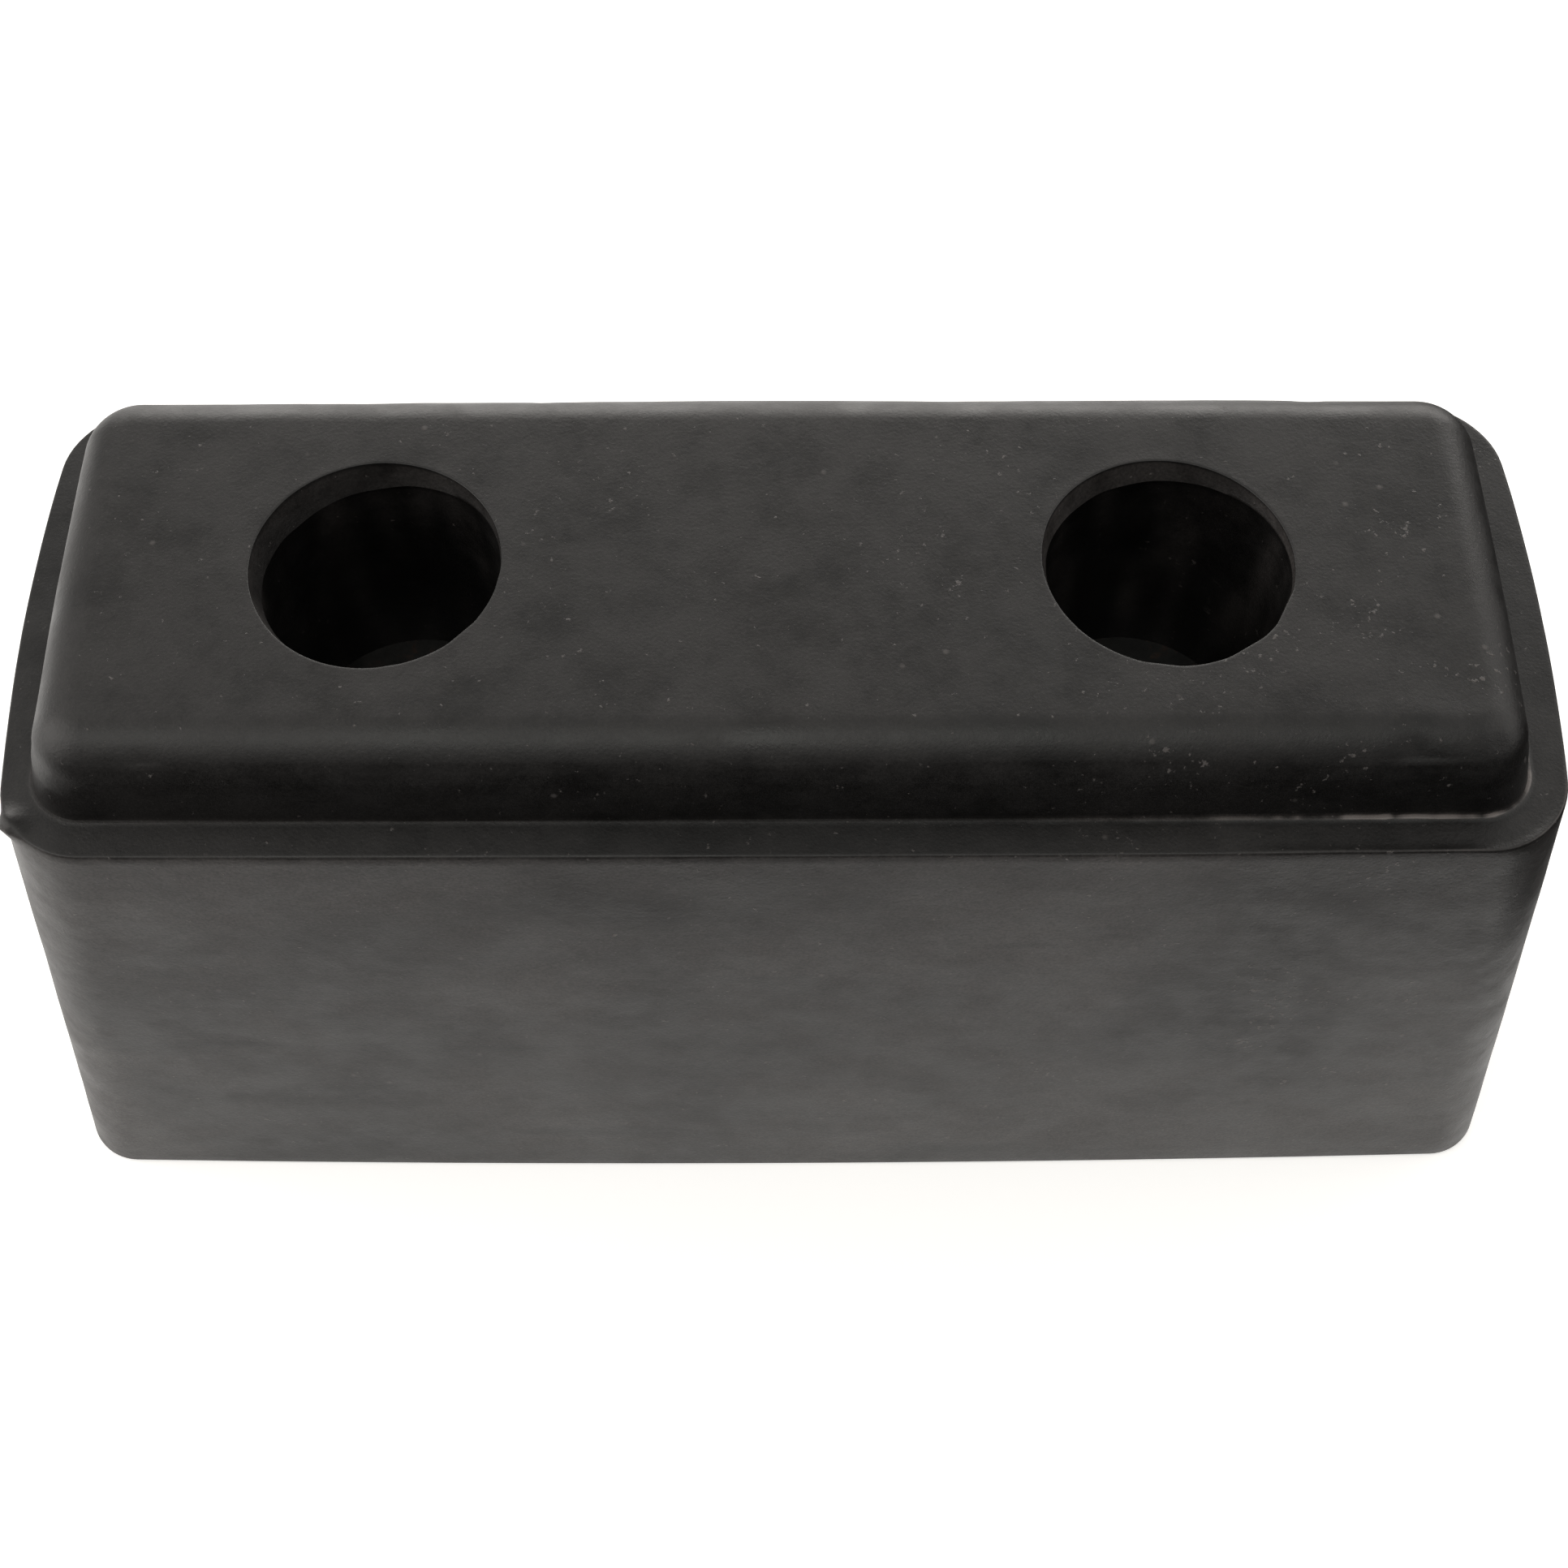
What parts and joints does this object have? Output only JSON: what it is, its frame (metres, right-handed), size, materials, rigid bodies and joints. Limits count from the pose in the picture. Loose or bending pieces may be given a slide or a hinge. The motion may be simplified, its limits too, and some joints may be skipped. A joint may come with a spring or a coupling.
{
  "type": "rubber dock bumper",
  "caption": "Tapered moulded rubber impact block with a stepped nose and deep counterbored bolt holes, for fastening to a dock, wall or vehicle.",
  "frame": {"origin": "middle of the flat mounting face, at z = 0", "axes": "+X along the block from the left bolt hole to the right one, +Y across it, +Z from the mounting face to the strike face on the nose"},
  "size_m": [0.2698, 0.1098, 0.12],
  "materials": {
    "rubber": "matte moulded black rubber, a little dusty",
    "plate_steel": "hot-rolled bar, dull",
    "sleeve_steel": "sawn tube, bright at its cut end"
  },
  "bodies": {
    "root": {"rubber_block": "rubber", "reinforcement_plate": "plate_steel", "left_bolt_sleeve": "sleeve_steel", "right_bolt_sleeve": "sleeve_steel"}
  },
  "joints": []
}
